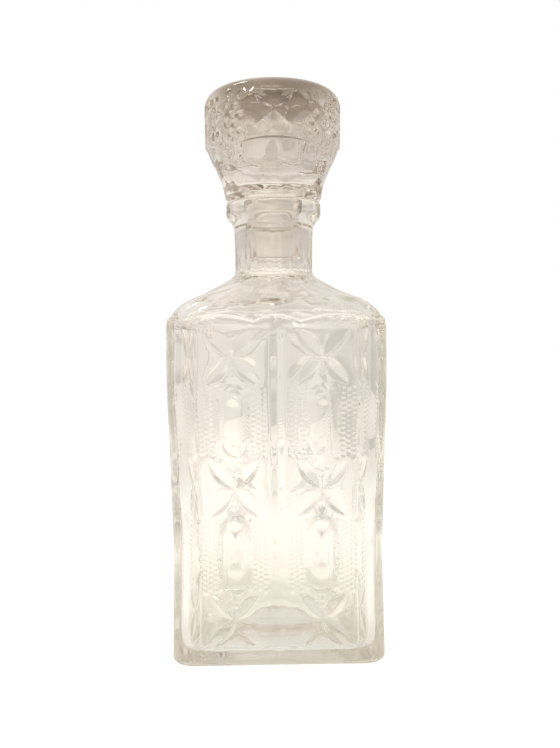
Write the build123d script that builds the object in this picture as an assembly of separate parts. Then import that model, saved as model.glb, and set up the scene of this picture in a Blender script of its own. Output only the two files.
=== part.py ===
"""A square pressed-glass bottle with a hollow drop-in stopper.

Millimetres, +Z up. The origin is on the bottle's axis, at the level of the foot it stands on.
The front of the bottle faces -Y, and its four faces are alike.
"""
from build123d import *
from math import atan2, cos, degrees, radians, sin, sqrt, tan
import os

os.makedirs("parts", exist_ok=True)

# ---- Body ----
body_width = 91.4          # across the flats, at the shoulder
waist_width = 87.3         # the walls draw in a little, half-way down
base_width = 88.6
corner_radius = 10.0       # the plain rounded columns between the faces
waist_height = 46.0
wall_top = 118.0           # the walls are upright from here to the ledge
foot_rounding = 2.6
wall = 5.4
floor_thickness = 4.6
inner_corner_radius = 7.0

# ---- Push-up under the base: a low pyramid with a square top ----
push_up_height = 6.0
push_up_mouth = 74.0
push_up_top = 33.0

# ---- Shoulder, neck and lip ----
shoulder_height = 137.8    # the walls start to turn in here
shoulder_round = 17.0      # radius of that turn
shoulder_slope = 60.5      # degrees from upright, all the way to the neck
ledge_step = 1.2           # the faces stand proud of the shoulder by this much
neck_root = 160.9          # the neck flares out below its base, to run into the shoulder's slope
neck_root_radius = 19.8
neck_base = 164.5
neck_radius = 17.0
neck_top_radius = 17.5
neck_top = 183.6
lip_radius = 21.0
lip_underside = 189.0
lip_top = 195.0
lip_rounding = 1.2
bore_bottom = 160.0
bore_bottom_radius = 11.9
bore_top_radius = 12.9

# ---- Face pattern: two sunk panels on each face, with a half-round rib between them ----
panel_width = 30.4
panel_offset = 18.7        # panel centre to the middle of the face
panel_bottom = 6.5
panel_top = 139.0
panel_recess = 1.0
rib_width = 6.4
motif_pitch = 54.0         # from one cross of leaves to the next
lowest_cross = 18.7
cross_count = 3
leaf_reach_x = 10.8        # tip of a leaf, measured from the centre of its cross
leaf_reach_z = 11.4
leaf_width = 5.6
leaf_height = 0.9          # the leaves are raised, and end just under the level of the rib
oval_width = 14.2
oval_length = 31.7
oval_depth = 0.9

# ---- Ledge: the faces end in three arches, which meet at one height ----
arch_spring = 140.6
arch_rise = 2.9
middle_arch_width = 19.6

# ---- Stopper: hollow, with a plug that is open at its lower end ----
plug_clearance = 0.05
plug_length = 25.2
plug_bore_radius = 9.2
seat_radius = 20.4
stopper_rings = 200.6
stopper_rings_radius = 21.9
cone_top = 212.0
cone_top_radius = 26.1
band_bottom = 217.4
band_radius = 29.6
band_top = 236.0
band_top_radius = 30.2
dome_shoulder = 243.1
dome_shoulder_radius = 27.3
crown_edge = 247.1         # the dome is almost flat from here to the axis
crown_edge_radius = 14.6
stopper_top = 247.6
stopper_wall = 3.0
stopper_cross_height = 231.0
stopper_reach_x = 9.0
stopper_reach_z = 8.0
stopper_leaf_width = 4.0
stopper_leaf_depth = 0.9


def square_section(width, radius, height):
    """A square with rounded corners, lying flat at a height."""
    return Pos(0, 0, height) * RectangleRounded(width, width, radius)


def stack(sections):
    """A straight-sided solid through a stack of sections."""
    return loft(sections, ruled=True)


def quarter_turns(solids):
    """The same solids on all four faces."""
    return [Rot(0, 0, 90 * turn) * solid for turn in range(4) for solid in solids]


def face_distance(height):
    """How far the front face is from the axis at a height."""
    if height >= wall_top:
        width = body_width
    elif height >= waist_height:
        share = (height - waist_height) / (wall_top - waist_height)
        width = waist_width + share * (body_width - waist_width)
    else:
        share = height / waist_height
        width = base_width + share * (waist_width - base_width)
    return width / 2


# ---- Bottle: outside ----
def make_walls(inset=0.0):
    """Four flat walls with rounded corners, drawn in at the waist."""
    radius = corner_radius - inset
    base = square_section(base_width - 2 * inset, radius, 0)
    waist = square_section(waist_width - 2 * inset, radius, waist_height)
    top = square_section(body_width - 2 * inset, radius, wall_top)
    shoulder = square_section(body_width - 2 * inset, radius, shoulder_height)
    return stack([base, waist]) + stack([waist, top]) + stack([top, shoulder])


def make_shoulder(inset, end_radius):
    """The walls turn in, then slope up and turn from a rounded square into a circle."""
    turn_radius = shoulder_round - inset
    start_half = body_width / 2 - inset
    start_corner = corner_radius - 0.5 * inset
    steps = 6
    levels = []
    for step in range(steps + 1):
        angle = radians(shoulder_slope) * step / steps
        levels.append((start_half - turn_radius * (1 - cos(angle)),
                       shoulder_height + turn_radius * sin(angle)))
    half, height = levels[-1]
    rise = (half - end_radius) / tan(radians(shoulder_slope))
    levels.append(((half + end_radius) / 2, height + rise / 2))
    levels.append((end_radius, height + rise))
    sections = []
    for half, height in levels:
        share = (start_half - half) / (start_half - end_radius)
        corner = start_corner + share * (end_radius - start_corner)
        sections.append(square_section(2 * half, min(corner, half - 0.1), height))
    return stack(sections)


def make_ledge(step_in=0.0):
    """The lowest part of the shoulder, up to the three arches that end each face."""
    half = body_width / 2
    middle = middle_arch_width / 2
    peak = arch_spring + arch_rise
    side_peak = (middle + half) / 2
    with BuildSketch(Plane.XZ) as outline:
        with BuildLine():
            Polyline((-half, arch_spring), (-half, wall_top), (half, wall_top), (half, arch_spring))
            ThreePointArc((half, arch_spring), (side_peak, peak), (middle, arch_spring))
            ThreePointArc((middle, arch_spring), (0, peak), (-middle, arch_spring))
            ThreePointArc((-middle, arch_spring), (-side_peak, peak), (-half, arch_spring))
        make_face()
    face_side = extrude(outline.sketch, half)
    quarter = Pos(0, 0, wall_top) * extrude(Polygon((0, 0), (-half, -half), (half, -half), align=None),
                                            body_width)
    sides = quarter_turns([face_side & quarter])
    return make_shoulder(step_in, neck_radius) & (sides[0] + sides[1:])


def make_neck():
    """The neck and its lip."""
    with BuildSketch(Plane.XZ) as profile:
        with BuildLine():
            Line((0, neck_root), (neck_root_radius, neck_root))
            Spline((neck_root_radius, neck_root), (neck_radius, neck_base),
                   tangents=[(-tan(radians(shoulder_slope)), 1), (0, 1)])
            Line((neck_radius, neck_base), (neck_top_radius, neck_top))
            Spline((neck_top_radius, neck_top), (lip_radius, lip_underside + 1.5),
                   tangents=[(0, 1), (0, 1)])
            Line((lip_radius, lip_underside + 1.5), (lip_radius, lip_top - lip_rounding))
            RadiusArc((lip_radius, lip_top - lip_rounding), (lip_radius - lip_rounding, lip_top),
                      -lip_rounding)
            Polyline((lip_radius - lip_rounding, lip_top), (0, lip_top), (0, neck_root))
        make_face()
    return revolve(profile.sketch, Axis.Z)


def make_ribs():
    """The half-round rib down the middle of each face, following the wall's slope."""
    radius = ((rib_width / 2) ** 2 + panel_recess ** 2) / (2 * panel_recess)
    heights = [panel_bottom, waist_height, wall_top, arch_spring]
    rings = [Pos(0, radius - face_distance(height), height) * Circle(radius) for height in heights]
    runs = [stack(rings[start:start + 2]) for start in range(len(rings) - 1)]
    return quarter_turns(runs)


# ---- Bottle: pattern of the faces ----
def make_pockets():
    """The shallow sunk field that covers both panels of each face, less the crosses that stand in it."""
    skin = make_walls() + make_ledge() - make_walls(panel_recess) - make_shoulder(panel_recess, neck_radius)
    height = panel_top - panel_bottom
    field = 2 * panel_offset + panel_width
    window = Pos(0, -body_width / 2, panel_bottom + height / 2) * Box(field, corner_radius, height)
    return [(skin & window) - make_crosses()]


def leaf_wheel(length, width, depth, side):
    """A wheel with a V edge, whose rim passes a face by a depth and marks it with a pointed leaf.

    The leaf lies lengthwise in X. Side -1 puts the wheel in front of the face, where it cuts a groove.
    Side 1 puts it behind, where its rim stands out as a ridge.
    """
    wheel_radius = (length ** 2 / 4 + depth ** 2) / (2 * depth)
    slope = width / 2 / depth
    rim = 2.5 * depth
    with BuildSketch(Plane.XZ) as profile:
        with BuildLine():
            Polyline((wheel_radius - rim, -rim * slope), (wheel_radius, 0),
                     (wheel_radius - rim, rim * slope), (wheel_radius - rim, -rim * slope))
        make_face()
    wheel = revolve(profile.sketch, Axis.Z)
    return Pos(0, side * (wheel_radius - depth), 0) * wheel


def cross_of_leaves(reach_x, reach_z, width, depth, side):
    """Four leaves that meet in a point, like a cross turned onto its corner."""
    leaf = leaf_wheel(sqrt(reach_x ** 2 + reach_z ** 2), width, depth, side)
    tilt = degrees(atan2(reach_z, reach_x))
    leaves = []
    for side_x in (-1, 1):
        for side_z in (-1, 1):
            middle = Pos(side_x * reach_x / 2, 0, side_z * reach_z / 2)
            leaves.append(middle * Rot(0, -side_x * side_z * tilt, 0) * leaf)
    return leaves


def oval_cutter():
    """A wheel with a round edge, which leaves a shallow long oval, lengthwise in Z."""
    edge_radius = (oval_width ** 2 / 4 + oval_depth ** 2) / (2 * oval_depth)
    wheel_radius = (oval_length ** 2 / 4 + oval_depth ** 2) / (2 * oval_depth)
    wheel = Rot(0, 90, 0) * Torus(wheel_radius - edge_radius, edge_radius)
    return Pos(0, oval_depth - wheel_radius, 0) * wheel


def panel_place(across, height):
    """A place on the sunk surface of the front face."""
    return Pos(across, panel_recess - face_distance(height), height)


def make_crosses():
    """The raised crosses of both panels of the front face."""
    crosses = []
    for across in (-panel_offset, panel_offset):
        for number in range(cross_count):
            place = panel_place(across, lowest_cross + number * motif_pitch)
            crosses += [place * leaf for leaf in
                        cross_of_leaves(leaf_reach_x, leaf_reach_z, leaf_width, leaf_height, 1)]
    return crosses


def make_ovals():
    """The hollowed ovals of both panels of the front face, half-way between the crosses."""
    return [panel_place(across, lowest_cross + (number + 0.5) * motif_pitch) * oval_cutter()
            for across in (-panel_offset, panel_offset) for number in range(cross_count - 1)]


# ---- Bottle: inside ----
def bore_radius(height):
    """The neck's bore is a slight taper, wider at the lip."""
    share = (height - bore_bottom) / (lip_top - bore_bottom)
    return bore_bottom_radius + share * (bore_top_radius - bore_bottom_radius)


def push_up(lift):
    """The low pyramid pressed up into the base, raised by a lift."""
    spread = 0.6 * lift
    mouth = square_section(push_up_mouth + spread, 5.0, lift)
    top = square_section(push_up_top + spread, 2.0, push_up_height + lift)
    return stack([mouth, top])


def make_cavity():
    """The hollow inside: the body, its shoulder and the bore of the neck."""
    inner_width = body_width - 2 * wall
    floor = square_section(base_width - 2 * wall, inner_corner_radius, floor_thickness)
    waist = square_section(waist_width - 2 * wall, inner_corner_radius, waist_height)
    top = square_section(inner_width, inner_corner_radius, wall_top)
    spring = square_section(inner_width, inner_corner_radius, shoulder_height)
    room = stack([floor, waist]) + stack([waist, top]) + stack([top, spring])
    room += make_shoulder(wall, bore_bottom_radius)
    bore_length = lip_top - bore_bottom
    room += Pos(0, 0, bore_bottom + bore_length / 2) * Cone(
        bore_bottom_radius, bore_top_radius, bore_length)
    return room - push_up(floor_thickness)


def make_bottle():
    """The whole bottle, in one piece of glass."""
    walls = make_walls()
    walls = fillet(walls.edges().group_by(Axis.Z)[0], foot_rounding)
    outside = walls + make_ledge() + make_shoulder(ledge_step, neck_radius) + make_neck()
    outside = outside - quarter_turns(make_pockets()) + make_ribs()
    return outside - make_cavity() - push_up(0) - quarter_turns(make_ovals())


# ---- Stopper ----
def stopper_outline():
    """The outside of the stopper, from its seat on the lip up over the dome."""
    plug_end = lip_top - plug_length
    end_radius = bore_radius(plug_end) - plug_clearance
    seat_bore = bore_radius(lip_top) - plug_clearance
    with BuildLine() as line:
        Polyline((0, plug_end), (end_radius, plug_end), (seat_bore, lip_top), (seat_radius, lip_top),
                 (stopper_rings_radius, stopper_rings), (cone_top_radius, cone_top),
                 (band_radius, band_bottom), (band_top_radius, band_top))
        Spline((band_top_radius, band_top), (dome_shoulder_radius, dome_shoulder),
               (crown_edge_radius, crown_edge), (0, stopper_top), tangents=[(0, 1), (-1, 0)])
        Line((0, stopper_top), (0, plug_end))
    return line.line


def stopper_hollow():
    """The hollow inside the stopper, which runs down through the plug and out of its end."""
    plug_end = lip_top - plug_length
    crown = stopper_top - stopper_wall
    with BuildSketch(Plane.XZ) as profile:
        with BuildLine():
            Polyline((0, plug_end), (plug_bore_radius, plug_end), (plug_bore_radius, lip_top - 4.0))
            Spline((plug_bore_radius, lip_top - 4.0),
                   (stopper_rings_radius - 2 * stopper_wall, stopper_rings),
                   (cone_top_radius - stopper_wall, cone_top),
                   (band_radius - stopper_wall, (band_bottom + band_top) / 2),
                   (dome_shoulder_radius - stopper_wall, dome_shoulder - 2.0),
                   (crown_edge_radius - stopper_wall, crown_edge - stopper_wall),
                   (0, crown), tangents=[(0, 1), (-1, 0)])
            Line((0, crown), (0, plug_end))
        make_face()
    return revolve(profile.sketch, Axis.Z)


def make_stopper():
    """The stopper, one hollow piece of glass with four crosses round its band."""
    outside = revolve(make_face(Plane.XZ * stopper_outline()), Axis.Z)
    leaves = cross_of_leaves(stopper_reach_x, stopper_reach_z, stopper_leaf_width, stopper_leaf_depth, -1)
    centre = Pos(0, -band_top_radius, stopper_cross_height)
    cuts = quarter_turns([centre * leaf for leaf in leaves])
    return outside - stopper_hollow() - cuts


def write(shape, name):
    """Write one node's solid."""
    shape.label = name
    export_step(shape, f"parts/{name}.step")


write(make_bottle(), "bottle")
write(make_stopper(), "stopper")
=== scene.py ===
"""Looks for a square pressed-glass bottle and its hollow stopper.

Both pieces are fine closed meshes in the space of their CAD solids. Their sizes are in millimetres,
and a mesh is turned into metres when it is made. Materials, floor and lights are in metres. The front
faces -Y. A place along one side of the bottle, or one quarter of the stopper, is called s: it runs
from corner to corner, with 0 in the middle.
"""
from math import asin, cos, hypot, pi, radians, sin, tan
from random import Random

import bmesh
import bpy
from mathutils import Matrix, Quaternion, Vector, noise
from mathutils.geometry import delaunay_2d_cdt


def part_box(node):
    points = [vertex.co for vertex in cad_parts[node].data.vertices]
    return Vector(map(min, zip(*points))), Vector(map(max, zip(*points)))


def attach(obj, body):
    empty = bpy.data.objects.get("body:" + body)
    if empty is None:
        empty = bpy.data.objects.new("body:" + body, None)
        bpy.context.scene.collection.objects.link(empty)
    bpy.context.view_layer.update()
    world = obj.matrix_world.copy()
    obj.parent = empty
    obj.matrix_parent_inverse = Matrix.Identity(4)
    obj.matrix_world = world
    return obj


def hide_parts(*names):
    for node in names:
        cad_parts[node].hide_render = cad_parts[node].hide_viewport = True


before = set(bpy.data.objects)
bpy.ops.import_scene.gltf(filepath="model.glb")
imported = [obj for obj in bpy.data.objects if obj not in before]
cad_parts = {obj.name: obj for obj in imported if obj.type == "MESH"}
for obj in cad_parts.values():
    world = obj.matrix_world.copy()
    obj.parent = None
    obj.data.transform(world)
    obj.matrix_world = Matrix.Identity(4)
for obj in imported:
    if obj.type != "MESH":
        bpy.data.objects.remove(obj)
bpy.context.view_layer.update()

MM = 0.001

# ---- Sizes from the frame, in millimetres ----
bottle_low, bottle_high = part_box("bottle")
stopper_low, stopper_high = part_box("stopper")
body_width = (bottle_high[0] - bottle_low[0]) / MM
lip_top = bottle_high[2] / MM
stopper_top = stopper_high[2] / MM
plug_end = stopper_low[2] / MM
stopper_radius = (stopper_high[0] - stopper_low[0]) / MM / 2

# ---- Body ----
half_body = body_width / 2
waist_half = 43.65
base_half = 44.3
corner_radius = 10.0
flat_half = half_body - corner_radius
corner_reach = corner_radius * pi / 4  # half of a corner's arc
sheet_half = flat_half + corner_reach
waist_height = 46.0
wall_top = 118.0
wall_easing = 10  # how far the walls' kinks are rounded, up and down
turn_height = 137.8  # the walls start to turn in to the shoulder
turn_radius = 17.0
shoulder_slope = radians(60.5)
ledge_step = 1.2
corner_ledge_step = 0.06  # the ledge almost runs out at the corners
ledge_lead = 3  # and starts to do so this far before them
foot_rounding = 2.6
wall = 5.4
inner_corner = 7.0
floor_height = 4.2
floor_fillet = 5.0
fillet_level = 10  # the inside's width here is the floor's
push_up = 6.0
push_up_mouth = 37.0
push_up_top = 16.5
push_up_edge = 0.3  # the worn edge of the push-up's mouth
inner_push_up_mouth = 32.3
push_up_corner = 3.0
flat_shares = (0.8, 0.5, 0.2)  # rows in the flat middle of the push-up

# ---- Neck ----
neck_radius = 17.0
flare_radius = 5.0  # the hollow curve at the neck's root
neck_flare = flare_radius * (1 - cos(shoulder_slope))
neck_top_radius = 17.5
neck_top = 183.6
lip_flare = 6.4  # height over which the neck swells into the lip
lip_radius = 21.0
lip_rounding = 1.2
lip_side_rows = (3.4, 1.6)  # below the lip's top
bore_bottom_radius = 11.9
bore_top_radius = 12.9
bore_bottom = 160.0
bore_mouth = 0.4  # depth of the bore's eased mouth

# ---- How far rows wave in and out, and the length of their waves ----
neck_ripple = (0.45, 2.1)
neck_ripple_end = (0.2, 2.1)
shoulder_ripple = (0.28, 2.8)
inner_shoulder_swell = (0.7, 9)
inner_shoulder_ripple = (0.3, 3.6)
inner_wall_swell = (0.7, 13)
stopper_room_swell = (1.0, 12)
stopper_room_ripple = (0.35, 4.5)

# ---- Pattern of one face ----
panel_centre = 18.7
panel_half = 15.2
panel_bottom = 6.7
foot_top = 3.9  # the panels run out in a slope down to the foot
panel_top = 139.0
panel_fade = 0.4  # half the height of their edge at the top
recess = 1.0
frame_softness = 0.35  # width of the rounded edges of the panels
plain_pitch = 2.2  # the grid over the plain parts of the panels
plain_columns = 6  # on each side of a panel's middle
rib_half = 3.2
cross_heights = [18.7, 72.7, 126.7]
oval_heights = [45.7, 99.7]
leaf_reach_x = 10.8
leaf_reach_z = 11.4
leaf_half_width = 3.2
leaf_height = 0.78  # the leaves are raised
leaf_skew = 0.3  # their ridges sit low
oval_half_width = 7.1
oval_half_length = 15.85
oval_squareness = 2.5  # 2 would be an ellipse
oval_depths = [1.85, 1.0]  # the upper ovals are shallower
bead_pitch_x = 2.17
bead_pitch_z = 2.06
low_bead_height = 0.45  # the beads are worn lower on the way up
high_bead_height = 0.13
bead_margin = 1.15  # clear space between beads and a leaf or oval
bead_border = 1.6  # and the panel's edge
cross_margin = 0.6  # and the spaces over and under a cross
arch_spring = 140.6
arch_rise = 2.9
ledge_rise = 0.62  # height of the ledge's rounded edge
middle_arch_half = 9.8


def ease(t):
    """Runs from 0 to 1 as t does, with a soft start and end."""
    return t * t * (3 - 2 * t)


def clamp(value):
    """A value kept between 0 and 1."""
    return min(max(value, 0), 1)


def mix(start, end, share):
    """A share of the way from start to end."""
    return start + share * (end - start)


def shares(steps):
    """The shares of a way that is walked in equal steps."""
    return [step / steps for step in range(1, steps + 1)]


def around(radius, angle, height):
    """A point at an angle about the axis, measured from the front."""
    return (radius * sin(angle), -radius * cos(angle), height)


def arc(radius, turns):
    """How far an arc has come in and gone up at each of its angles, in degrees."""
    return [(radius * (1 - cos(radians(turn))), radius * sin(radians(turn))) for turn in turns]


def smoothed(function, value, reach):
    """The mean of a function near a value, which rounds its kinks."""
    samples = 9
    steps = [value + reach * (2 * step / (samples - 1) - 1) for step in range(samples)]
    return sum(function(step) for step in steps) / samples


def straight_half(height):
    """Half the body's width at a height, narrowest at the waist."""
    if height >= wall_top:
        return half_body
    if height >= waist_height:
        return mix(waist_half, half_body, (height - waist_height) / (wall_top - waist_height))
    return mix(base_half, waist_half, max(height, 0) / waist_height)


def shoulder_half(height, inset):
    """Half-width of the shoulder at a height, drawn in by an inset."""
    radius = turn_radius - inset
    rise = height - turn_height
    turn_rise = radius * sin(shoulder_slope)
    if rise <= turn_rise:
        angle = asin(max(rise, 0) / radius)
        return half_body - inset - radius * (1 - cos(angle))
    end = half_body - inset - radius * (1 - cos(shoulder_slope))
    return end - (rise - turn_rise) * tan(shoulder_slope)


def shoulder_end(inset, radius):
    """Height where the shoulder's slope has come in to a radius."""
    turn = turn_radius - inset
    end = half_body - inset - turn * (1 - cos(shoulder_slope))
    return turn_height + turn * sin(shoulder_slope) + (end - radius) / tan(shoulder_slope)


def wall_half(height):
    """Half-width of the outside at a height, from the foot up to the ledge."""
    if height > turn_height:
        return shoulder_half(height, 0)
    return smoothed(straight_half, height, min(wall_easing, turn_height - height))


def section_point(s, half, corner):
    """The point of a rounded square at s on the front side, and its outward normal."""
    flat = half - corner
    if abs(s) <= flat_half:
        return Vector((s / flat_half * flat, -half)), Vector((0, -1))
    side = 1 if s > 0 else -1
    angle = (abs(s) - flat_half) / corner_reach * pi / 4
    normal = Vector((side * sin(angle), -cos(angle)))
    return Vector((side * flat, -flat)) + corner * normal, normal


def circle_point(s, radius):
    """The point of a circle for the same place s."""
    angle = s / sheet_half * pi / 4
    return Vector((radius * sin(angle), -radius * cos(angle)))


def arch_height(s):
    """Height of the ledge: three arches on each face."""
    across = min(abs(s), half_body)
    if across < middle_arch_half:
        share = across / middle_arch_half
    else:
        middle = (middle_arch_half + sheet_half) / 2
        share = abs(across - middle) / (sheet_half - middle)
    return arch_spring + arch_rise * (1 - min(share, 1) ** 2)


class Relief:
    """Points of a patterned sheet, each with its own height above the sheet."""

    def __init__(self):
        self.points = {}

    def add(self, across, up, rise):
        """Adds a point, unless one is already there."""
        key = (round(across, 2), round(up, 2))
        if key not in self.points:
            self.points[key] = (across, up, rise)

    def taken_cells(self):
        """The whole-millimetre cells that hold a point."""
        return {(round(x), round(y)) for x, y, _ in self.points.values()}


def crowded(across, up, taken):
    """Whether a place's cell, or one beside it, is taken."""
    cell = (round(across), round(up))
    return any((cell[0] + dx, cell[1] + dy) in taken for dx in (-1, 0, 1) for dy in (-1, 0, 1))


def leaf_width(t):
    """A leaf's relative width, from its cross's centre (0) to its tip (1)."""
    return max(0, 1 - (2 * t - 1) ** 2)


def add_cross(relief, centre, reach_x, reach_z, half_width, height, base, skew=0.0):
    """Four pointed leaves that meet: ridges, or grooves when the height is negative.

    A leaf's section has a softened crest and feet: (place across it, share of its height).
    """
    half_section = ((0.09, 0.95), (0.52, 0.53), (1, 0.05), (1.08, 0))
    rows = [(-offset, share) for offset, share in reversed(half_section)]
    rows += [(0, 0.99), *half_section]
    length = hypot(reach_x, reach_z)
    along = Vector((reach_x, reach_z)) / length
    aside = Vector((-along.y, along.x))
    for side_x in (-1, 1):
        for side_z in (-1, 1):
            for t in [0, *shares(9)]:
                for offset, share in rows:
                    shift = -side_z * skew * max(1 - abs(offset), 0)
                    spot = along * (t * length) + aside * ((offset + shift) * half_width * leaf_width(t))
                    rise = base + height * share * leaf_width(t)
                    relief.add(centre[0] + side_x * spot.x, centre[1] + side_z * spot.y, rise)


def inside_leaf(x, z, margin):
    """Whether a place, measured from a cross's centre, is on or near a leaf."""
    x, z = abs(x), abs(z)
    length = hypot(leaf_reach_x, leaf_reach_z)
    along = (x * leaf_reach_x + z * leaf_reach_z) / length
    aside = abs(z * leaf_reach_x - x * leaf_reach_z) / length
    t = along / length
    if t > 1 + margin / length:
        return False
    return aside < leaf_half_width * leaf_width(t) + margin


def oval_share(x, z):
    """0 in the middle of an oval, 1 on its outline."""
    across = abs(x / oval_half_width) ** oval_squareness
    up = abs(z / oval_half_length) ** oval_squareness
    return (across + up) ** (1 / oval_squareness)


def add_oval(relief, centre, depth, base):
    """A shallow polished hollow with a soft rim, in rings of (size, share of the depth)."""
    rings = ((1.04, 0), (1.0, 0.1), (0.92, 0.3), (0.76, 0.58), (0.52, 0.83), (0.26, 0.96))
    turns = 32
    relief.add(centre[0], centre[1], base - depth)
    for scale, share in rings:
        for turn in range(turns):
            angle = 2 * pi * turn / turns
            x, z = cos(angle), sin(angle)
            reach = scale / oval_share(x * oval_half_width, z * oval_half_length)
            relief.add(centre[0] + x * oval_half_width * reach, centre[1] + z * oval_half_length * reach,
                       base - depth * share)


def beads_here(x, z):
    """Whether the beaded field covers a place in a panel."""
    if abs(x) > panel_half - bead_border:
        return False
    low, high = cross_heights[0], cross_heights[-1]
    if not low < z < high:
        return False
    for height in cross_heights:
        rise = abs(z - height)
        limit = leaf_reach_z * min(abs(x) / leaf_reach_x, 1)
        if rise < limit + cross_margin or inside_leaf(x, rise, bead_margin):
            return False
    oval_limit = 1 + bead_margin / oval_half_width
    return all(oval_share(x, z - height) > oval_limit for height in oval_heights)


def add_beads(relief, across, base):
    """Close-set round beads in columns, every other column half a step up.

    Each is a crest, a ring round it, and the corners and side middles of its six-sided cell.
    """
    crest_x, crest_z, crest_share = 0.55, 0.5, 0.8
    side_share = 0.14
    corner_x = (bead_pitch_x ** 2 + bead_pitch_z ** 2 / 4) / 2 / bead_pitch_x
    top_x = corner_x - bead_pitch_z ** 2 / 4 / bead_pitch_x
    half_z = bead_pitch_z / 2
    corners = ((corner_x, 0), (top_x, half_z), (-top_x, half_z), (-corner_x, 0), (-top_x, -half_z),
               (top_x, -half_z))
    columns = int(panel_half / bead_pitch_x) + 1
    for column in range(-columns, columns + 1):
        x = column * bead_pitch_x
        for row in range(int(panel_top / bead_pitch_z)):
            z = (row + 0.5 * (column % 2)) * bead_pitch_z
            if not beads_here(x, z):
                continue
            bead_height = mix(low_bead_height, high_bead_height, min(z / oval_heights[1], 1))
            relief.add(across + x, z, base + bead_height)
            for turn in range(6):
                angle = pi / 3 * turn
                relief.add(across + x + crest_x * cos(angle), z + crest_z * sin(angle),
                           base + crest_share * bead_height)
            for corner, (dx, dz) in enumerate(corners):
                nx, nz = corners[corner - 1]
                relief.add(across + x + dx, z + dz, base)
                relief.add(across + x + (dx + nx) / 2, z + (dz + nz) / 2, base + side_share * bead_height)


def add_frame_lines(relief, levels):
    """The upright lines that bound the panels and shape the rib between them.

    The rib has a soft crest: (share of its half-width, share of the drop to the panel).
    """
    edge = panel_centre + panel_half
    soft = frame_softness
    lines = [(edge + soft, 0), (edge, -0.1 * recess), (edge - soft, -0.9 * recess),
             (edge - 2 * soft, -recess), (rib_half + soft, -recess)]
    ridge = ((0, 0), (0.08, 0.03), (0.2, 0.14), (0.5, 0.47), (0.8, 0.8), (1, 0.99))
    lines += [(rib_half * share, -recess * drop) for share, drop in ridge]
    for height in levels:
        fade = fade_recess(height)
        for across, rise in lines:
            relief.add(across, height, rise * fade)
            relief.add(-across, height, rise * fade)


def fade_recess(height):
    """The recess runs out softly at the top and bottom of the panels."""
    run_in = clamp((height - foot_top) / (panel_bottom - foot_top))
    run_out = clamp((panel_top + panel_fade - height) / (2 * panel_fade))
    return run_in * run_out


def face_columns():
    """Places along one side that the rows above and below the patterned sheet share."""
    corner = [flat_half + corner_reach * t for t in shares(5)]
    flat = [flat_half * (2 * t - 1) for t in [0, *shares(44)]]
    return [-place for place in reversed(corner)] + flat + corner


COLUMNS = face_columns()
SHEET_BOTTOM = foot_rounding + 0.6
LEVELS = [mix(SHEET_BOTTOM, arch_spring, t) for t in shares(60)[:-1]]


def face_relief():
    """The whole pattern of one face."""
    relief = Relief()
    for s in COLUMNS:
        relief.add(s, SHEET_BOTTOM, 0)
        relief.add(s, arch_height(s), 0)
    for across in (-panel_centre, panel_centre):
        for height in cross_heights:
            add_cross(relief, (across, height), leaf_reach_x, leaf_reach_z, leaf_half_width,
                      leaf_height, -recess, leaf_skew)
        for height, depth in zip(oval_heights, oval_depths):
            add_oval(relief, (across, height), depth, -recess)
        add_beads(relief, across, -recess)
    edge_levels = [foot_top, panel_bottom, panel_top - panel_fade, panel_top + panel_fade]
    add_frame_lines(relief, LEVELS + edge_levels)
    for s in COLUMNS:
        if abs(s) > flat_half:
            for height in LEVELS:
                relief.add(s, height, 0)
    for across in plain_places():
        for height in edge_levels:
            relief.add(across, height, -recess * fade_recess(height))
    fill_plain(relief)
    return relief


def plain_places():
    """The upright lines of the grid over both panels."""
    return [side * panel_centre + step * plain_pitch for side in (-1, 1)
            for step in range(-plain_columns, plain_columns + 1)]


def fill_plain(relief):
    """A sparse grid over the plain parts of the panels."""
    clear_of_ledge = 1.5
    taken = relief.taken_cells()
    for across in plain_places():
        for level in LEVELS:
            if not crowded(across, level, taken) and level < arch_height(across) - clear_of_ledge:
                relief.add(across, level, -recess * fade_recess(level))


def sheet_mesh(relief, bottom, top, inside):
    """Joins a sheet's points into triangles between its bottom and top rows.

    Gives the points as (across, up, rise), and the triangles whose middles are inside.
    """
    keys = list(relief.points)
    number = {key: index for index, key in enumerate(keys)}
    places = [Vector(relief.points[key][:2]) for key in keys]
    left = sorted((key for key in keys if key[0] == round(bottom[0][0], 2)), key=lambda key: key[1])
    right = sorted((key for key in keys if key[0] == round(bottom[-1][0], 2)), key=lambda key: key[1])
    outline = [(round(x, 2), round(y, 2)) for x, y in bottom] + right[1:-1]
    outline += [(round(x, 2), round(y, 2)) for x, y in reversed(top)] + left[-2:0:-1]
    ring = [number[key] for key in outline]
    inside_triangles, tolerance = 1, 1e-5
    result = delaunay_2d_cdt(places, [], [ring], inside_triangles, tolerance, True)
    joined_places, triangles, origins = result[0], result[2], result[3]
    points = []
    for place, origin in zip(joined_places, origins):
        rise = relief.points[keys[origin[0]]][2] if origin else 0.0
        points.append((place.x, place.y, rise))
    kept = []
    for triangle in triangles:
        across = sum(points[index][0] for index in triangle) / 3
        up = sum(points[index][1] for index in triangle) / 3
        if inside(across, up):
            kept.append(triangle)
    return points, kept


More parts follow.
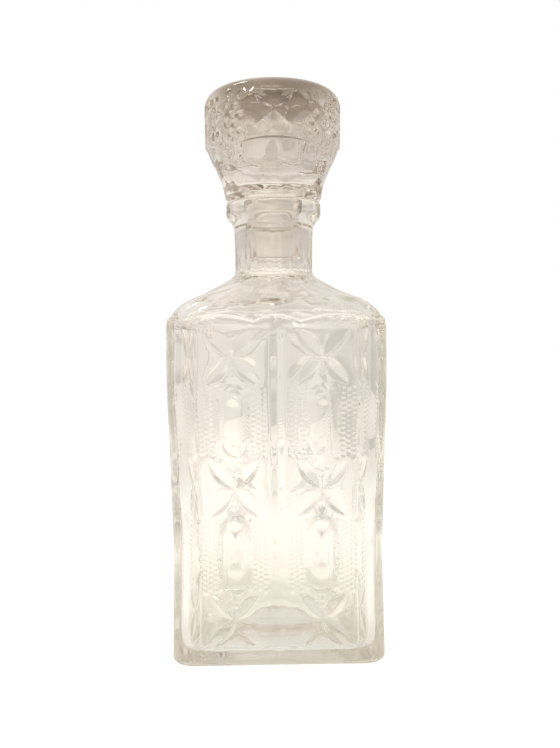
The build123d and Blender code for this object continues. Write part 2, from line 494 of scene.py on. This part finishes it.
class Shell:
    """Collects a piece's points and faces, in millimetres."""

    def __init__(self):
        self.points = []
        self.faces = []

    def add_sides(self, points, faces):
        """Adds a front sheet, turned onto each of the four sides."""
        for turn in range(4):
            start = len(self.points)
            self.points += [quarter_turn(point, turn) for point in points]
            self.faces += [[start + index for index in face] for face in faces]

    def add_loops(self, loops):
        """Joins closed rows of points. On the outside they run upwards."""
        start = len(self.points)
        count = len(loops[0])
        for loop in loops:
            self.points += loop
        for row in range(len(loops) - 1):
            for column in range(count):
                right = (column + 1) % count
                low, high = start + row * count, start + (row + 1) * count
                self.faces.append([low + column, low + right, high + right, high + column])

    def add_cap(self, loop, middle, flip):
        """Closes a row of points with a fan."""
        start = len(self.points)
        count = len(loop)
        self.points += loop + [middle]
        for column in range(count):
            right = (column + 1) % count
            face = [start + column, start + right, start + count]
            self.faces.append(face[::-1] if flip else face)

    def add_seed(self, middle, reach):
        """Adds a tiny closed bubble within the glass. Its faces look inwards."""
        start = len(self.points)
        x, y, z = middle
        sides = 8
        tall = 1.5 * reach
        wide = 0.87 * reach
        self.points += [(x, y, z - tall), (x, y, z + tall)]
        for share in (-0.5, 0.5):
            for turn in range(sides):
                angle = 2 * pi * turn / sides
                self.points.append((x + wide * cos(angle), y + wide * sin(angle), z + share * tall))
        low, high = start + 2, start + 2 + sides
        for turn in range(sides):
            right = (turn + 1) % sides
            self.faces.append([start, low + turn, low + right])
            self.faces.append([low + right, low + turn, high + turn, high + right])
            self.faces.append([start + 1, high + right, high + turn])

    def make(self, name):
        """Makes the piece's object, in metres, with shared points merged."""
        merge_reach, sliver_reach = 0.012 * MM, 0.002 * MM
        mesh = bpy.data.meshes.new(name)
        mesh.from_pydata([Vector(point) * MM for point in self.points], [], self.faces)
        joined = bmesh.new()
        joined.from_mesh(mesh)
        bmesh.ops.remove_doubles(joined, verts=joined.verts, dist=merge_reach)
        bmesh.ops.dissolve_degenerate(joined, edges=joined.edges, dist=sliver_reach)
        for face in joined.faces:
            face.smooth = True
        joined.to_mesh(mesh)
        joined.free()
        piece = bpy.data.objects.new(name, mesh)
        bpy.context.scene.collection.objects.link(piece)
        return piece


def quarter_turn(point, turn):
    """A point turned by quarter turns about the axis."""
    x, y, z = point
    for _ in range(turn % 4):
        x, y = -y, x
    return (x, y, z)


def loop_from(profile):
    """A closed row from a function that gives the front side's point at a place s."""
    front = [profile(s) for s in COLUMNS[:-1]]
    return [quarter_turn(point, turn) for turn in range(4) for point in front]


def wavy(loop, depth, length):
    """A row whose points move in and out a little, as hand-finished glass does."""
    upright_stretch = 0.6  # the waves are longer upwards than round the glass
    moved = []
    for x, y, z in loop:
        wave = noise.noise(Vector((x, y, z * upright_stretch)) / length)
        grow = 1 + depth * wave / max(hypot(x, y), 1)
        moved.append((x * grow, y * grow, z))
    return moved


def square_loop(height, half, corner):
    """A rounded square row. height may be a function of s, and half may be one of the height."""
    def profile(s):
        z = height(s) if callable(height) else height
        point, _ = section_point(s, half(z) if callable(half) else half, corner)
        return (point.x, point.y, z)
    return loop_from(profile)


def round_loop(height, radius):
    """A circular row."""
    def profile(s):
        point = circle_point(s, radius)
        return (point.x, point.y, height)
    return loop_from(profile)


def ledge_at(s):
    """How far the face stands proud of the shoulder."""
    reach = clamp((abs(s) - flat_half + ledge_lead) / (corner_reach + ledge_lead))
    return mix(ledge_step, corner_ledge_step, ease(reach))


def ledge_loop(up, share):
    """A row over the rounded edge of the ledge."""
    def profile(s):
        height = arch_height(s) + up
        point, _ = section_point(s, wall_half(height) - share * ledge_at(s), corner_radius)
        return (point.x, point.y, height)
    return loop_from(profile)


def shoulder_loops(inset_at, end_radius, start_height, corner, steps):
    """Rows up the shoulder, from a rounded square to a circle."""
    bunching = 1.2  # the rows lie closer together low down
    corner_growth = 6
    roundness = 1.3  # the squareness holds on for a while on the way up
    end_inset = inset_at(0)
    top = shoulder_end(end_inset, end_radius)
    loops = []
    for t in [0, *shares(steps)]:
        def profile(s, t=t):
            height = mix(start_height(s), top, t ** bunching)
            inset = mix(inset_at(s), end_inset, t)
            start_half = half_body - inset
            half = shoulder_half(height, inset)
            share = clamp((start_half - half) / (start_half - end_radius))
            square, _ = section_point(s, half, min(corner + share * corner_growth, half))
            point = square.lerp(circle_point(s, half), share ** roundness)
            return (point.x, point.y, height)
        loops.append(loop_from(profile))
    return loops


def neck_outline():
    """The neck's outline as (radius, height): up its outside, round the lip and down the bore."""
    base = shoulder_end(ledge_step, neck_radius + neck_flare) + flare_radius * sin(shoulder_slope)
    outline = [(neck_radius + pull, base - drop) for pull, drop in arc(flare_radius, range(50, -1, -10))]
    outline += [(neck_radius + 0.02, base + 2), (neck_radius + 0.12, base + 6),
                (neck_radius + 0.3, base + 12), (neck_top_radius, neck_top)]
    outline += [(mix(neck_top_radius, lip_radius, ease(t)), neck_top + lip_flare * t) for t in shares(8)]
    outline += [(lip_radius, lip_top - drop) for drop in lip_side_rows]
    outline += [(lip_radius - pull, lip_top - lip_rounding + rise)
                for pull, rise in arc(lip_rounding, (15, 40, 65, 90))]
    bore_high = lip_top - bore_mouth
    bore_low = shoulder_end(wall, bore_bottom_radius) + 1.2
    outline += [(lip_radius - 3, lip_top), (bore_top_radius + 2, lip_top), (bore_top_radius + 0.35, lip_top),
                (bore_top_radius + 0.1, lip_top - 0.1), (bore_top_radius, bore_high)]
    outline += [(mix(bore_top_radius, bore_bottom_radius, t), mix(bore_high, bore_low, t)) for t in shares(8)]
    return outline


def neck_loops():
    """Rows over the neck and lip. The neck is rippled low down."""
    rows = [round_loop(height, radius) for radius, height in neck_outline()]
    rippled = 8
    return ([wavy(row, *neck_ripple) for row in rows[:rippled]] + [wavy(rows[rippled], *neck_ripple_end)]
            + rows[rippled + 1:])


def inner_half(height):
    """Half-width of the hollow at a height."""
    return smoothed(straight_half, height, wall_easing) - wall


def patterned_face():
    """The points and faces of the front, with its pattern."""
    bottom = [(s, SHEET_BOTTOM) for s in COLUMNS]
    top = [(s, arch_height(s)) for s in COLUMNS]
    flat_points, faces = sheet_mesh(face_relief(), bottom, top, lambda s, z: z < arch_height(s))
    front = []
    for s, height, rise in flat_points:
        point, normal = section_point(s, wall_half(height), corner_radius)
        front.append((*(point + normal * rise), height))
    return front, faces


def push_up_rows(low, mouth, mouth_corner, top):
    """Rows up into the base, from the mouth of the push-up to its flat middle."""
    rows = [square_loop(mix(low, top, ease(t)), mix(mouth, push_up_top, t),
                        mix(mouth_corner, push_up_corner, t)) for t in [0, *shares(8)]]
    return rows + [square_loop(top, share * push_up_top, share * push_up_corner) for share in flat_shares]


def upper_and_inner_rows():
    """Rows from the ledge up over the lip, and down inside to the floor."""
    rows = [square_loop(arch_height, wall_half, corner_radius)]
    rows += [ledge_loop(up, share) for up, share in ((0.16, 0.06), (0.34, 0.3), (0.46, 0.62), (0.56, 0.86))]
    shoulder = shoulder_loops(ledge_at, neck_radius + neck_flare, lambda s: arch_height(s) + ledge_rise,
                              corner_radius, 22)
    rows += shoulder[:3] + [wavy(row, *shoulder_ripple) for row in shoulder[3:]]
    rows += neck_loops()
    inner_shoulder = shoulder_loops(lambda s: wall, bore_bottom_radius, lambda s: turn_height,
                                    inner_corner, 24)
    inner_shoulder.reverse()
    rows += inner_shoulder[:3]
    rows += [wavy(wavy(row, *inner_shoulder_swell), *inner_shoulder_ripple) for row in inner_shoulder[3:]]
    level_pitch, level_count = 3, 41
    for step in range(1, level_count + 1):
        level = square_loop(turn_height - level_pitch * step, inner_half, inner_corner)
        rows.append(wavy(level, *inner_wall_swell))
    for pull, drop in arc(floor_fillet, (8, 20, 32, 44, 56, 68, 79, 90)):
        rows.append(square_loop(floor_height + floor_fillet - drop, inner_half(fillet_level) - pull,
                                inner_corner))
    # The floor is flat there, so the push-up's first row is left out.
    return rows + push_up_rows(floor_height, inner_push_up_mouth, inner_corner, floor_height + push_up)[1:]


def base_rows():
    """Rows from the patterned sides down round the foot and up into the base."""
    rows = [square_loop(SHEET_BOTTOM, wall_half, corner_radius)]
    for pull, drop in arc(foot_rounding, (0, 20, 40, 60, 80, 90)):
        rows.append(square_loop(foot_rounding - drop, wall_half(0) - pull, corner_radius - pull))
    rows.append(square_loop(0, push_up_mouth + 1.0, 6.0))
    rows.append(square_loop(push_up_edge / 3, push_up_mouth + push_up_edge, 5.6))
    return rows + push_up_rows(push_up_edge, push_up_mouth, 5.0, push_up)


def bottle_shell():
    """The bottle's whole surface."""
    shell = Shell()
    shell.add_sides(*patterned_face())
    rows = upper_and_inner_rows()
    shell.add_loops(rows)
    shell.add_cap(rows[-1], (0, 0, floor_height + push_up), False)
    rows = base_rows()
    rows.reverse()
    shell.add_loops(rows)
    shell.add_cap(rows[0], (0, 0, push_up), True)
    return shell


def add_wall_seeds(shell):
    """A few bubbles in the middle of the bottle's walls and neck."""
    wall_seeds, neck_seeds = 18, 6
    chance = Random(11)
    for number in range(wall_seeds):
        height = chance.uniform(62, 134)
        across = chance.uniform(-34, 34)
        middle = (across, -wall_half(height) + 0.62 * wall, height)
        shell.add_seed(quarter_turn(middle, number), chance.uniform(0.2, 0.38))
    for number in range(neck_seeds):
        angle = chance.uniform(-0.6, 0.6)
        middle = around((neck_radius + bore_top_radius) / 2, angle, chance.uniform(166, 188))
        shell.add_seed(quarter_turn(middle, number), chance.uniform(0.2, 0.34))


bottle_mesh = bottle_shell()
add_wall_seeds(bottle_mesh)
bottle = bottle_mesh.make("bottle_glass_body")


# ---- Stopper ----
seat_gap = 0.05  # the stopper sits on the lip with a hair of air under it
plug_play = 0.08
plug_bore = 9.2
crown_wall = 3.0
band_radius = stopper_radius
band_swell = 0.45  # the band is narrower by this much at its lower edge
cross_height = 231.0
dome_base = 236.0
band_top = 242.6
dome_fullness = 3.4
dome_flatness = 2.5
dome_steps = 16
scallop_crest = 219.4
scallop_cusp = 215.0
scallop_fullness = 2.2
band_step = 0.5
cone_top = 211.6
cone_top_radius = 26.0
cone_fullness = 0.75
room_top = 231  # the hollow's dome starts here
room_radius = 27.0
stopper_reach_x = 9.3
stopper_reach_z = 8.0
stopper_leaf_half = 2.0
stopper_leaf_depth = 1.0
knob_pitch = 4.3
knob_height = 1.25
knob_unevenness = 0.4
knobs_start = 14.8  # no knobs nearer to the middle of a cross than this
quarter_reach = band_radius * pi / 4
STOPPER_COLUMNS = [mix(-quarter_reach, quarter_reach, t) for t in [0, *shares(40)]]


def dome_radius(height):
    """Radius of the outside from the band up over the flattened dome."""
    t = clamp((height - dome_base) / (stopper_top - dome_base))
    return band_radius * (1 - t ** dome_flatness) ** (1 / dome_fullness)


def dome_rise(share):
    """How far up a dome, from 0 to 1, a share of its radius lies."""
    return (1 - share ** dome_fullness) ** (1 / dome_flatness)


def band_outside(height):
    """Radius of the band, which swells a little at the height of its crosses."""
    if height > dome_base:
        return dome_radius(height)
    return band_radius - band_swell * ((dome_base - height) / (dome_base - scallop_cusp)) ** 2


def scallop_height(s):
    """Lower edge of the band: one arch under each cross."""
    share = min(abs(s) / quarter_reach, 1)
    return mix(scallop_crest, scallop_cusp, share ** scallop_fullness)


def add_knob(relief, across, up, size, height):
    """A round knob, in rings of (reach, share of its height)."""
    relief.add(across, up, height)
    for turn in range(8):
        angle = pi / 4 * turn
        for reach, share in ((0.45, 0.82), (0.8, 0.38), (1.12, 0.04)):
            far = reach * size
            relief.add(across + far * cos(angle), up + far * sin(angle), height * share)


def add_knobs(relief):
    """Coarse, uneven knobs between the crosses, in close-set rows."""
    lowest, highest = scallop_crest + 2.6, band_top - 3.4
    row_pitch = 0.87 * knob_pitch
    chance = Random(3)
    for row in range(5):
        for column in range(-2, 3):
            for side in (-1, 1):
                across = side * (quarter_reach - (column + 0.5 * (row % 2)) * knob_pitch)
                across += chance.uniform(-knob_unevenness, knob_unevenness)
                up = lowest + row * row_pitch + chance.uniform(-knob_unevenness, knob_unevenness)
                size = chance.uniform(0.34, 0.44) * knob_pitch
                height = chance.uniform(0.7, 1.1) * knob_height
                if knobs_start < abs(across) < quarter_reach - 1.15 * size and up <= highest:
                    add_knob(relief, across, up, size, height)


def stopper_relief():
    """The pattern of one quarter of the stopper's band."""
    relief = Relief()
    for s in STOPPER_COLUMNS:
        relief.add(s, scallop_height(s), 0)
        relief.add(s, band_top, 0)
    levels = [mix(scallop_cusp, band_top, t) for t in shares(24)[:-1]]
    for level in levels:
        relief.add(-quarter_reach, level, 0)
        relief.add(quarter_reach, level, 0)
    add_cross(relief, (0, cross_height), stopper_reach_x, stopper_reach_z, stopper_leaf_half,
              -stopper_leaf_depth, 0)
    add_knobs(relief)
    clear_of_scallop = 0.8
    taken = relief.taken_cells()
    for s in STOPPER_COLUMNS[1:-1]:
        for level in levels:
            if not crowded(s, level, taken) and level > scallop_height(s) + clear_of_scallop:
                relief.add(s, level, 0)
    return relief


def stopper_row(height, radius):
    """A circular row of the stopper. Height and radius may be functions of s."""
    front = []
    for s in STOPPER_COLUMNS[:-1]:
        z = height(s) if callable(height) else height
        r = radius(s) if callable(radius) else radius
        front.append(around(r, s / quarter_reach * pi / 4, z))
    return [quarter_turn(point, turn) for turn in range(4) for point in front]


def smooth_line(points, steps):
    """A smooth run through a few (radius, height) points."""
    ends = [points[0]] + points + [points[-1]]
    line = []
    for index in range(1, len(ends) - 2):
        before, a, b, after = (Vector(point) for point in ends[index - 1:index + 3])
        for step in range(steps):
            t = step / steps
            line.append(0.5 * (2 * a + (b - before) * t + (2 * before - 5 * a + 4 * b - after) * t * t
                               + (3 * a - before - 3 * b + after) * t ** 3))
    return line + [Vector(points[-1])]


def patterned_band():
    """The points and faces of the front quarter of the band, with its pattern."""
    bottom = [(s, scallop_height(s)) for s in STOPPER_COLUMNS]
    top = [(s, band_top) for s in STOPPER_COLUMNS]
    flat_points, faces = sheet_mesh(stopper_relief(), bottom, top, lambda s, z: z > scallop_height(s) + 0.01)
    front = [around(band_outside(height) + rise, s / quarter_reach * pi / 4, height)
             for s, height, rise in flat_points]
    return front, faces


def dome_rows():
    """Rows from the top of the band in over the dome."""
    rows = [stopper_row(band_top, band_outside(band_top))]
    for t in shares(dome_steps)[:-1]:
        radius = band_outside(band_top) * cos(t * pi / 2)
        rows.append(stopper_row(mix(dome_base, stopper_top, dome_rise(radius / band_radius)), radius))
    return rows


def plug_outline():
    """The plug's outline as (radius, height), from its bore's mouth up to its seat."""
    seat = lip_top + seat_gap
    taper = (bore_top_radius - bore_bottom_radius) / (lip_top - bore_bottom)
    top_radius = bore_top_radius - plug_play
    end_radius = top_radius - taper * (lip_top - plug_end)
    return [(plug_bore, plug_end + 0.4), (plug_bore + 0.4, plug_end), (end_radius - 0.5, plug_end),
            (end_radius, plug_end + 0.5), (end_radius + taper * 12, plug_end + 12),
            (top_radius, seat - 0.3), (top_radius + 0.3, seat), (17, seat), (19.8, seat),
            (20.3, seat + 0.1), (20.55, seat + 0.5)]


def cone_outline():
    """The cone's outline as (radius, height), with two worn rings at its foot."""
    return [(20.8, 196.1), (21.35, 197.2), (21.2, 197.6), (21.5, 198.2), (21.85, 200.4), (21.75, 200.8),
            (22.1, 201.6), (22.5, 203.2), (23.2, 205.2), (24.2, 207.3), (25.1, 209.5),
            (cone_top_radius, cone_top)]


def underside_rows():
    """Rows from the plug up over the cone to the band's scalloped edge."""
    rows = [stopper_row(height, radius) for radius, height in plug_outline() + cone_outline()]
    edge_gap = 0.12
    for t in shares(8):
        def height(s, t=t):
            return mix(cone_top, scallop_height(s) - edge_gap, t)

        def radius(s, t=t):
            return mix(cone_top_radius, band_outside(scallop_height(s)) - band_step, t ** cone_fullness)
        rows.append(stopper_row(height, radius))
    rows.append(stopper_row(lambda s: scallop_height(s) - 0.1,
                            lambda s: band_outside(scallop_height(s)) - edge_gap))
    rows.append(stopper_row(scallop_height, lambda s: band_outside(scallop_height(s))))
    return rows


def room_rows(crown):
    """Rows up the hollow inside the stopper."""
    line = smooth_line([(plug_bore, plug_end + 0.4), (plug_bore, 184), (plug_bore + 0.3, 190), (12.8, 194.8),
                        (17.5, 199.6), (21.2, 206), (23.6, 213), (26.4, 222), (room_radius, room_top)], 6)
    rows = [stopper_row(height, radius) for radius, height in line]
    for t in shares(dome_steps)[:-1]:
        share = cos(t * pi / 2)
        rows.append(stopper_row(mix(room_top, crown, dome_rise(share)), share * room_radius))
    plug_rows = 14  # the plug's bore stays true
    return rows[:plug_rows] + [wavy(wavy(row, *stopper_room_swell), *stopper_room_ripple)
                               for row in rows[plug_rows:]]


def stopper_shell():
    """The stopper's whole surface."""
    shell = Shell()
    shell.add_sides(*patterned_band())
    dome = dome_rows()
    shell.add_loops(dome)
    shell.add_cap(dome[-1], (0, 0, stopper_top), False)
    crown = stopper_top - crown_wall
    room = room_rows(crown)
    room.reverse()
    shell.add_loops(room)
    shell.add_cap(room[0], (0, 0, crown), True)
    shell.add_loops(underside_rows())
    return shell


def add_stopper_seeds(shell):
    """A few bubbles in the cone's wall."""
    seeds, lowest, highest = 12, 204, 216
    chance = Random(5)
    for _ in range(seeds):
        height = chance.uniform(lowest, highest)
        angle = chance.uniform(-pi, pi)
        reach = 21.1 + 0.4 * (height - 203.2)  # about the middle of the cone's glass
        shell.add_seed(around(reach, angle, height), chance.uniform(0.22, 0.4))


stopper_mesh = stopper_shell()
add_stopper_seeds(stopper_mesh)
stopper = stopper_mesh.make("stopper_glass_knob")


# ---- Materials ----
shade_span = 0.25  # the painted shade is given for heights from 0 to this, in metres
shade_wander = 0.008  # noise moves the painted shade's edges up and down by this much
WHITE = (1, 1, 1, 1)


def set_inputs(tree, node, inputs):
    """Gives each named input a value, or links it to another node's output."""
    for name, value in inputs.items():
        if isinstance(value, bpy.types.NodeSocket):
            tree.links.new(value, node.inputs[name])
        else:
            node.inputs[name].default_value = value


def add_node(tree, kind, inputs, **settings):
    """Adds a node with its settings and inputs."""
    node = tree.nodes.new("ShaderNode" + kind)
    for name, value in settings.items():
        setattr(node, name, value)
    set_inputs(tree, node, inputs)
    return node


def add_noise(tree, place, scale, detail):
    """Soft noise over a surface."""
    noise_node = add_node(tree, "TexNoise", {"Vector": place, "Scale": scale, "Detail": detail})
    return noise_node.outputs["Fac"]


def add_ramp(tree, value, stops):
    """A colour that follows a value through a run of (value, colour)."""
    node = add_node(tree, "ValToRGB", {"Fac": value})
    elements = node.color_ramp.elements
    for number, (level, colour) in enumerate(stops):
        stop = elements[number] if number < len(elements) else elements.new(level)
        stop.position = level
        stop.color = (*colour, 1)
    return node.outputs["Color"]


def add_long_ramp(tree, value, stops, span):
    """A ramp whose values run from 0 to a span other than 1."""
    share = add_node(tree, "Math", {0: value, 1: span}, operation="DIVIDE")
    return add_ramp(tree, share.outputs["Value"], [(level / span, colour) for level, colour in stops])


def add_curve(tree, value, points):
    """A strength that follows a value through (value, strength) points."""
    node = add_node(tree, "FloatCurve", {"Value": value})
    curve = node.mapping.curves[0]
    for number, point in enumerate(points):
        if number < len(curve.points):
            curve.points[number].location = point
        else:
            curve.points.new(*point)
    node.mapping.update()
    return node.outputs["Value"]


def smudges(tree, place, haze):
    """Roughness that rises in soft smudges, up to the haze."""
    smudge = add_noise(tree, place, 38.0, 5.0)
    polish = add_node(tree, "MapRange", {"Value": smudge, "From Min": 0.42, "From Max": 0.78, "To Max": haze})
    return polish.outputs["Result"]


def uneven_painted_shade(tree, place, painted_shading):
    """Painted shade that changes with the height, with wandering edges."""
    uneven = add_node(tree, "MapRange", {"Value": add_noise(tree, place, 14.0, 2.0), "From Min": 0.35,
                                         "From Max": 0.65, "To Min": -shade_wander, "To Max": shade_wander})
    parts = add_node(tree, "SeparateXYZ", {"Vector": place})
    height = add_node(tree, "Math", {0: parts.outputs["Z"], 1: uneven.outputs["Result"]}, operation="ADD")
    return add_long_ramp(tree, height.outputs["Value"], painted_shading, shade_span)


def glass_material(name, tint, density, ripple, haze, painted_shading):
    """Clear glass: tinted through its depth, faintly rippled and smudged on its surface, with painted shade
    by height.

    The painted shade is a run of (height in metres, colour).
    """
    material = bpy.data.materials.new(name)
    material.use_nodes = True
    tree = material.node_tree
    place = add_node(tree, "TexCoord", {}).outputs["Object"]
    wave = add_noise(tree, place, 55.0, 1.5)
    bump = add_node(tree, "Bump", {"Height": wave, "Strength": 1.0, "Distance": ripple * MM})
    set_inputs(tree, tree.nodes["Principled BSDF"],
               {"Transmission Weight": 1.0, "IOR": 1.5, "Roughness": smudges(tree, place, haze),
                "Base Color": uneven_painted_shade(tree, place, painted_shading), "Normal": bump.outputs["Normal"]})
    depth = add_node(tree, "VolumeAbsorption", {"Color": (*tint, 1), "Density": density})
    set_inputs(tree, tree.nodes["Material Output"], {"Volume": depth.outputs["Volume"]})
    return material


def dress(piece, material, node, body):
    """Gives a piece its material and the body it moves with, and hides its CAD part."""
    piece.data.materials.clear()
    piece.data.materials.append(material)
    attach(piece, body)
    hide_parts(node)


# Painted shade by height, (height in metres, colour): the bottle a little darker above its foot and towards
# its lip, the stopper much darker towards the top of its dome.
bottle_painted_shade = ((0.0, (1, 0.995, 0.97)), (0.25, (0.93, 0.92, 0.90)), (0.013, (0.95, 0.942, 0.912)),
                (0.03, (0.96, 0.955, 0.93)), (0.06, (1, 1, 0.99)), (0.15, (0.99, 0.985, 0.97)),
                (0.172, (0.965, 0.957, 0.94)), (0.19, (0.935, 0.925, 0.905)))
stopper_painted_shade = ((0.17, (0.975, 0.967, 0.955)), (0.2, (0.96, 0.95, 0.935)), (0.214, (0.925, 0.91, 0.893)),
                 (0.228, (0.905, 0.88, 0.855)), (0.238, (0.85, 0.815, 0.78)),
                 (0.2476, (0.36, 0.30, 0.24)))
dress(bottle, glass_material("clear pressed glass, painted shade", (0.80, 0.78, 0.70), 8.5, 0.18, 0.13, bottle_painted_shade),
      "bottle", "bottle")
dress(stopper, glass_material("amethyst glass, painted shade", (0.50, 0.38, 0.26), 9.0, 0.22, 0.10, stopper_painted_shade),
      "stopper", "stopper")


# ---- Floor ----
floor_reach = 1.55
floor_drop = 0.0002  # keeps the floor clear of the bottle's foot
shade_half = 0.5  # the shade runs over this much of the floor to each side
even_start, even_end = 0.24, 0.42  # and takes over between these distances
even_strength = 0.925
glow_strength = 0.748
camera_glow = 0.38  # added for the camera only
# Its glow away from the bottle, with a painted shadow in a ring close round it and painted shade far off:
# (distance, colour).
floor_glow_and_painted_shadow = ((0.04, (0.96, 0.945, 0.90)), (1.55, (0.84, 0.785, 0.71)), (0.06, (0.72, 0.707, 0.66)),
              (0.105, (0.77, 0.756, 0.705)), (0.17, (0.98, 0.965, 0.92)), (0.32, (1, 0.985, 0.945)),
              (0.5, (0.93, 0.905, 0.86)), (0.75, (0.89, 0.855, 0.80)))
# Its strength across the room: (share of the way from left to right, strength).
floor_shade = ((0, 0.68), (1, 0.66), (0.25, 0.80), (0.38, 1), (0.44, 0.95), (0.5, 0.92), (0.53, 0.83),
               (0.72, 0.76))


def lit_for_camera(tree, seen, unseen):
    """One shader for the camera, and another for light that comes through the glass."""
    path = add_node(tree, "LightPath", {})
    mix = add_node(tree, "MixShader", {"Fac": path.outputs["Is Camera Ray"], 1: unseen, 2: seen})
    return mix.outputs["Shader"]


def floor_strength(tree, place, far):
    """How strongly the floor glows: evenly near the bottle, and by its shade further off."""
    parts = add_node(tree, "SeparateXYZ", {"Vector": place})
    across = add_node(tree, "MapRange", {"Value": parts.outputs["X"], "From Min": -shade_half,
                                         "From Max": shade_half})
    shade = add_curve(tree, across.outputs["Result"], floor_shade)
    away = add_node(tree, "MapRange", {"Value": far, "From Min": even_start, "From Max": even_end},
                    interpolation_type="SMOOTHSTEP")
    even = add_node(tree, "Mix", {"Factor": away.outputs["Result"], "A": even_strength, "B": shade})
    strength = add_node(tree, "Math", {0: even.outputs["Result"], 1: glow_strength}, operation="MULTIPLY")
    return strength.outputs["Value"]


def make_floor():
    """A pale floor that glows a little, with a painted shadow round the bottle and painted shade further off.
    """
    mesh = bpy.data.meshes.new("floor")
    joined = bmesh.new()
    bmesh.ops.create_circle(joined, cap_ends=True, segments=96, radius=floor_reach)
    joined.to_mesh(mesh)
    joined.free()
    floor = bpy.data.objects.new("floor", mesh)
    floor.location.z = -floor_drop
    bpy.context.scene.collection.objects.link(floor)
    material = bpy.data.materials.new("pale floor")
    material.use_nodes = True
    tree = material.node_tree
    place = add_node(tree, "TexCoord", {}).outputs["Object"]
    far = add_node(tree, "VectorMath", {0: place}, operation="LENGTH").outputs["Value"]
    shader = tree.nodes["Principled BSDF"]
    set_inputs(tree, shader,
               {"Base Color": (0.50, 0.48, 0.45, 1), "Roughness": 0.9, "Specular IOR Level": 0.0,
                "Emission Color": add_long_ramp(tree, far, floor_glow_and_painted_shadow, floor_reach),
                "Emission Strength": floor_strength(tree, place, far)})
    white = add_node(tree, "Emission", {"Color": WHITE, "Strength": camera_glow})
    bright = add_node(tree, "AddShader", {0: shader.outputs["BSDF"], 1: white.outputs["Emission"]})
    surface = lit_for_camera(tree, bright.outputs["Shader"], shader.outputs["BSDF"])
    set_inputs(tree, tree.nodes["Material Output"], {"Surface": surface})
    floor.data.materials.append(material)


# ---- Room ----
# Its colour by height: (sine of the angle over the horizon, colour).
sky = ((0, (0.86, 0.80, 0.735)), (0.85, (0.86, 0.80, 0.73)), (0.03, (0.93, 0.875, 0.81)),
       (0.056, (0.93, 0.875, 0.81)), (0.074, (0.74, 0.685, 0.62)), (0.19, (0.70, 0.64, 0.58)),
       (0.26, (0.89, 0.835, 0.77)), (0.5, (0.95, 0.895, 0.83)))
# Its strength across: (share of the way from left to right, strength).
side_light = ((0, 0.70), (1, 0.70), (0.2, 0.86), (0.32, 1.0), (0.42, 1.0), (0.47, 1.0), (0.5, 0.975),
              (0.54, 0.91), (0.575, 0.77), (0.64, 0.73), (0.74, 0.80))
even_low, even_high = -0.035, 0.04  # the strength grows more even between these heights
even_share = 0.55
room_strength = 0.95
# (name, place, width and height, watts)
windows = (("window behind", (-0.27, 0.42, 0.95), (0.20, 0.05), 0.5),
           ("window in front", (0, -0.75, 0.85), (1.3, 0.10), 2.0),
           ("window above", (-0.06, -0.43, 1.0), (0.4, 0.12), 0.5))
window_colour = (1, 0.97, 0.92)
bottle_middle = Vector((0, 0, 0.12))
glass_bounces = 40  # light turns many times inside thick glass before it leaves


def make_world():
    """A warm pale room. The camera sees plain white behind the bottle."""
    world = bpy.data.worlds.new("studio")
    bpy.context.scene.world = world
    world.use_nodes = True
    tree = world.node_tree
    place = add_node(tree, "TexCoord", {}).outputs["Generated"]
    parts = add_node(tree, "SeparateXYZ", {"Vector": place})
    across, up = parts.outputs["X"], parts.outputs["Z"]
    sideways = add_node(tree, "MapRange", {"Value": across, "From Min": -1.0})
    shade = add_curve(tree, sideways.outputs["Result"], side_light)
    rise = add_node(tree, "MapRange", {"Value": up, "From Min": even_low, "From Max": even_high,
                                       "To Max": even_share})
    even = add_node(tree, "Mix", {"Factor": rise.outputs["Result"], "A": shade, "B": room_strength})
    room = tree.nodes["Background"]
    set_inputs(tree, room, {"Color": add_ramp(tree, up, sky), "Strength": even.outputs["Result"]})
    white = add_node(tree, "Background", {"Color": WHITE})
    surface = lit_for_camera(tree, white.outputs["Background"], room.outputs["Background"])
    set_inputs(tree, tree.nodes["World Output"], {"Surface": surface})


def make_window(name, place, size, power):
    """A large soft light that faces the bottle."""
    light = bpy.data.lights.new(name, "AREA")
    light.shape = "RECTANGLE"
    light.size, light.size_y = size
    light.energy = power
    light.color = window_colour
    lamp = bpy.data.objects.new(name, light)
    lamp.location = place
    aim = bottle_middle - Vector(place)
    lamp.rotation_euler = aim.to_track_quat("-Z", "Y").to_euler()
    bpy.context.scene.collection.objects.link(lamp)


# ---- Camera ----
sensor_width = 36  # in millimetres, like the lens
lens = 52.1
near_clip, far_clip = 0.01, 20
eye_distance = 0.485
eye_height = 0.1272
eye_turn = radians(1.2)
eye_tilt = radians(0.55)
eye_pan = 0.0023
eye_drop = 0.0083  # it looks at a point this far under its own height


def make_camera():
    """Level with the middle of the bottle, almost square on."""
    data = bpy.data.cameras.new("camera")
    data.sensor_width = sensor_width
    data.lens = lens
    data.clip_start = near_clip
    data.clip_end = far_clip
    camera = bpy.data.objects.new("camera", data)
    camera.location = (-eye_distance * sin(eye_turn), -eye_distance * cos(eye_turn), eye_height)
    target = Vector((eye_pan * cos(eye_turn), -eye_pan * sin(eye_turn), eye_height - eye_drop))
    level = (target - camera.location).to_track_quat("-Z", "Y")
    camera.rotation_euler = (level @ Quaternion((0, 0, 1), -eye_tilt)).to_euler()
    bpy.context.scene.collection.objects.link(camera)
    bpy.context.scene.camera = camera


make_floor()
make_world()
for window in windows:
    make_window(*window)
make_camera()
bpy.context.scene.view_settings.view_transform = "Standard"
for kind in ("max_bounces", "transmission_bounces", "glossy_bounces"):
    setattr(bpy.context.scene.cycles, kind, glass_bounces)
